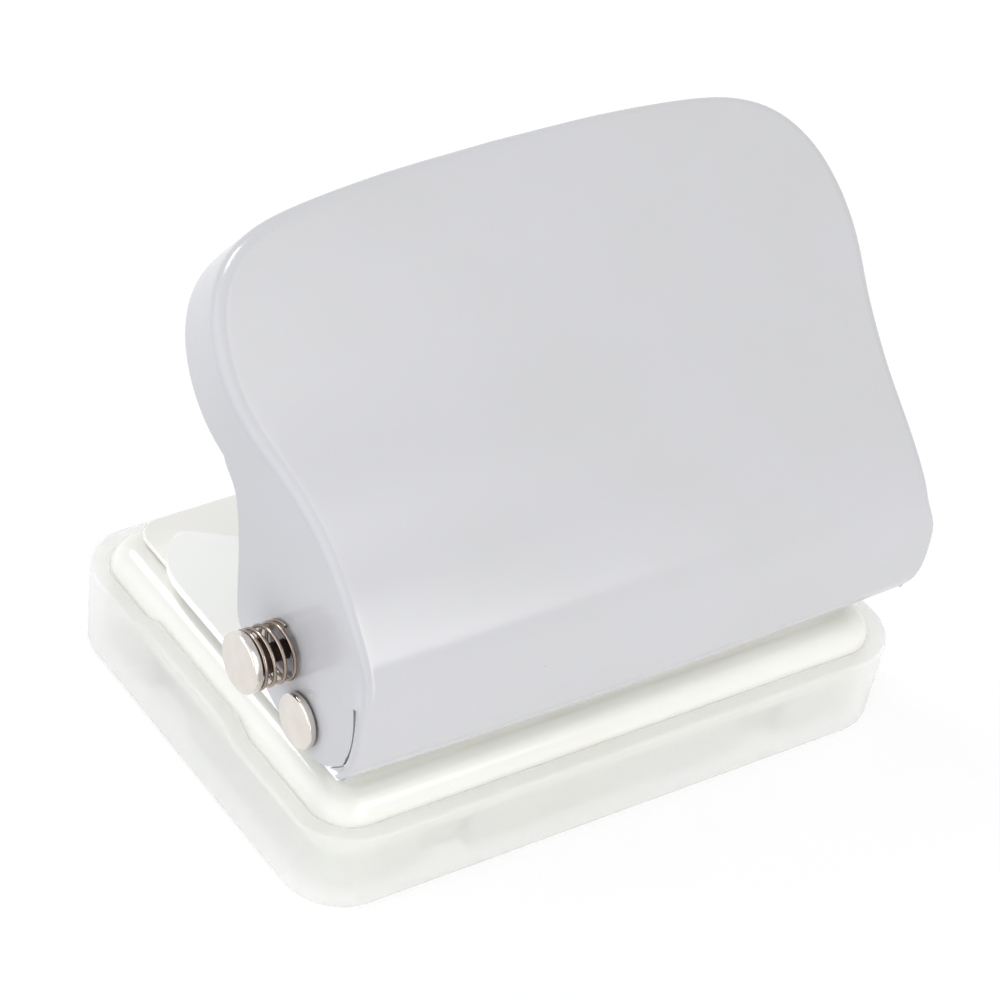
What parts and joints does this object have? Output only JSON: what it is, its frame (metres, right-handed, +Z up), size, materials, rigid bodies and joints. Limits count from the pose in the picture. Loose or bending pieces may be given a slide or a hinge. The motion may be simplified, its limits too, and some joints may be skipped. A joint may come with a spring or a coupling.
{
  "type": "hole punch",
  "caption": "Desk hole punch for planner sheets: wide pressed-steel handle with a side lock button, sprung punches over a die table, and a frosted chip tray.",
  "frame": {"origin": "middle of the chip tray's flat bottom face", "axes": "+X along the row of holes, +Y towards the side the paper goes in, +Z up"},
  "size_m": [0.1056, 0.0711, 0.0835],
  "materials": {
    "frosted_plastic": "frosted translucent",
    "cream_paint": "gloss cream paint",
    "white_paint": "gloss white paint",
    "grey_paint": "satin pale grey paint",
    "nickel": "bright nickel plate",
    "plated_steel": "zinc plate",
    "hard_steel": "ground",
    "spring_steel": "bright wire",
    "brass": "turned"
  },
  "bodies": {
    "tray": {"chip_tray": "frosted_plastic"},
    "base": {"base_shell": "cream_paint", "table_plate": "cream_paint", "paper_stop": "plated_steel", "frame_rivets": "nickel", "punch_frame": "white_paint", "guide_bushes": "brass", "pivot_pin_left": "nickel", "pivot_pin_right": "nickel", "pivot_washers": "plated_steel", "return_spring_1": "spring_steel", "return_spring_2": "spring_steel", "return_spring_3": "spring_steel", "return_spring_4": "spring_steel", "return_spring_5": "spring_steel"},
    "handle": {"handle_shell": "grey_paint", "press_plate": "plated_steel", "lock_spring": "spring_steel"},
    "lock": {"lock_button": "nickel"},
    "punch_1": {"punch_pin_1": "hard_steel"},
    "punch_2": {"punch_pin_2": "hard_steel"},
    "punch_3": {"punch_pin_3": "hard_steel"},
    "punch_4": {"punch_pin_4": "hard_steel"},
    "punch_5": {"punch_pin_5": "hard_steel"}
  },
  "joints": [
    {"name": "base_lift", "type": "slide", "parent": "tray", "child": "base", "axis": [0, 0, 1], "range_m": [0, 0.02]},
    {"name": "handle_press", "type": "hinge", "parent": "base", "child": "handle", "pos_m": [0, -0.0219, 0.0262], "axis": [-1, 0, 0], "range_deg": [0, 30], "stiffness_Nm_per_rad": 0.6, "springref_deg": -14.32},
    {"name": "lock_push", "type": "slide", "parent": "handle", "child": "lock", "axis": [1, 0, 0], "range_m": [0, 0.0026], "stiffness_N_per_m": 300, "springref_m": -0.002, "deforming": ["lock_spring"]},
    {"name": "punch_1_down", "type": "slide", "parent": "base", "child": "punch_1", "axis": [0, 0, -1], "range_m": [0, 0.00745], "deforming": ["return_spring_1"]},
    {"name": "punch_2_down", "type": "slide", "parent": "base", "child": "punch_2", "axis": [0, 0, -1], "range_m": [0, 0.00745], "deforming": ["return_spring_2"]},
    {"name": "punch_3_down", "type": "slide", "parent": "base", "child": "punch_3", "axis": [0, 0, -1], "range_m": [0, 0.00745], "deforming": ["return_spring_3"]},
    {"name": "punch_4_down", "type": "slide", "parent": "base", "child": "punch_4", "axis": [0, 0, -1], "range_m": [0, 0.00745], "deforming": ["return_spring_4"]},
    {"name": "punch_5_down", "type": "slide", "parent": "base", "child": "punch_5", "axis": [0, 0, -1], "range_m": [0, 0.00745], "deforming": ["return_spring_5"]}
  ],
  "couplings": [
    {"joint": "punch_1_down", "follows": "handle_press", "m_per_rad": 0.014215},
    {"joint": "punch_2_down", "follows": "handle_press", "m_per_rad": 0.014215},
    {"joint": "punch_3_down", "follows": "handle_press", "m_per_rad": 0.014215},
    {"joint": "punch_4_down", "follows": "handle_press", "m_per_rad": 0.014215},
    {"joint": "punch_5_down", "follows": "handle_press", "m_per_rad": 0.014215}
  ]
}
